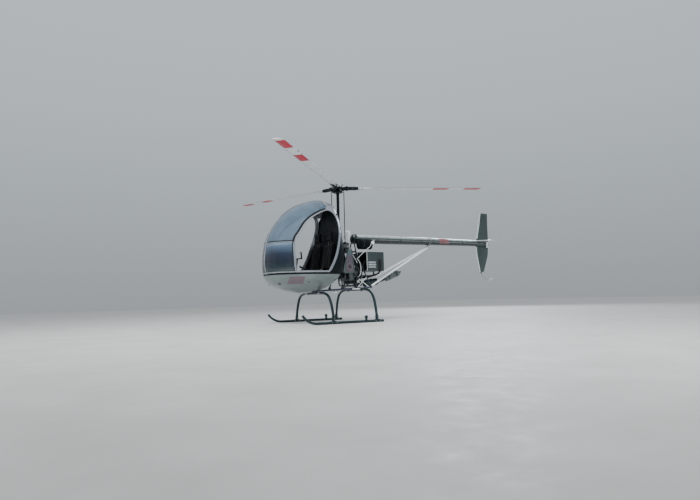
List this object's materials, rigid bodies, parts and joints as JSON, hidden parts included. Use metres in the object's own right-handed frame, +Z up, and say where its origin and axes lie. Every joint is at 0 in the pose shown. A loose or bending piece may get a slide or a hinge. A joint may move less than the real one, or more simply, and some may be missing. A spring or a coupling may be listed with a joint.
{
  "type": "light two-seat helicopter",
  "caption": "Light two-seat piston helicopter on skids: egg-shaped glazed cabin with open doorways, bare engine bay, tube boom with struts, bladed main and tail rotors that turn.",
  "frame": {"origin": "middle of the whole object's footprint, on the floor under the skids", "axes": "+X forward to the nose, +Y to port, +Z up"},
  "size_m": [6.721, 5.8389, 2.9021],
  "materials": {
    "silver_paint": "satin silver",
    "grey_paint": "satin grey",
    "dark_paint": "satin near-black",
    "frame_paint": "powder coated dark grey",
    "skid_paint": "semi-gloss teal black",
    "blade_white": "satin white with red bands",
    "tinted_glass": "lightly tinted acrylic glazing",
    "bright_steel": "bare drawn tube and sheet",
    "cast_alloy": "sand cast",
    "seat_cloth": "dark woven cloth",
    "black_plastic": "grained black",
    "black_rubber": "hoses and seals"
  },
  "bodies": {
    "airframe": {"belly_shell": "grey_paint", "canopy_frame": "silver_paint", "door_frame_port": "silver_paint", "door_frame_starboard": "silver_paint", "rear_bulkhead": "dark_paint", "cabin_floor": "black_plastic", "seat_bench": "black_plastic", "instrument_console": "black_plastic", "cyclic_stick": "dark_paint", "collective_lever": "black_plastic", "rudder_pedals": "bright_steel", "windshield_port": "tinted_glass", "windshield_starboard": "tinted_glass", "chin_window_port": "tinted_glass", "chin_window_starboard": "tinted_glass", "seat_port": "seat_cloth", "seat_starboard": "seat_cloth", "skid_port": "skid_paint", "skid_starboard": "skid_paint", "cross_tube_front": "skid_paint", "cross_tube_rear": "skid_paint", "frame_tubes": "frame_paint", "main_gearbox": "cast_alloy", "engine_block": "cast_alloy", "belt_guard": "grey_paint", "radiator": "cast_alloy", "drum_tank": "dark_paint", "exhaust_pipe": "bright_steel", "muffler": "bright_steel", "tail_boom": "silver_paint", "boom_strut_port": "bright_steel", "boom_strut_starboard": "bright_steel", "stabiliser": "grey_paint", "fin_upper": "grey_paint", "fin_lower": "grey_paint", "tail_gearbox": "cast_alloy", "tail_skid": "bright_steel", "lower_swashplate": "dark_paint"},
    "main_rotor": {"rotor_mast": "dark_paint", "rotor_hub": "dark_paint", "upper_swashplate": "dark_paint", "main_blade_1": "blade_white", "main_blade_2": "blade_white", "main_blade_3": "blade_white"},
    "tail_rotor": {"tail_rotor_hub": "dark_paint", "tail_blade_1": "blade_white", "tail_blade_2": "blade_white"}
  },
  "joints": [
    {"name": "main_rotor_spin", "type": "hinge", "parent": "airframe", "child": "main_rotor", "pos_m": [0.94419, 0.38237, 2.787], "axis": [0, 0, 1], "continuous": true},
    {"name": "tail_rotor_spin", "type": "hinge", "parent": "airframe", "child": "tail_rotor", "pos_m": [-3.20581, 0.14737, 1.696], "axis": [0, 1, 0], "continuous": true}
  ]
}
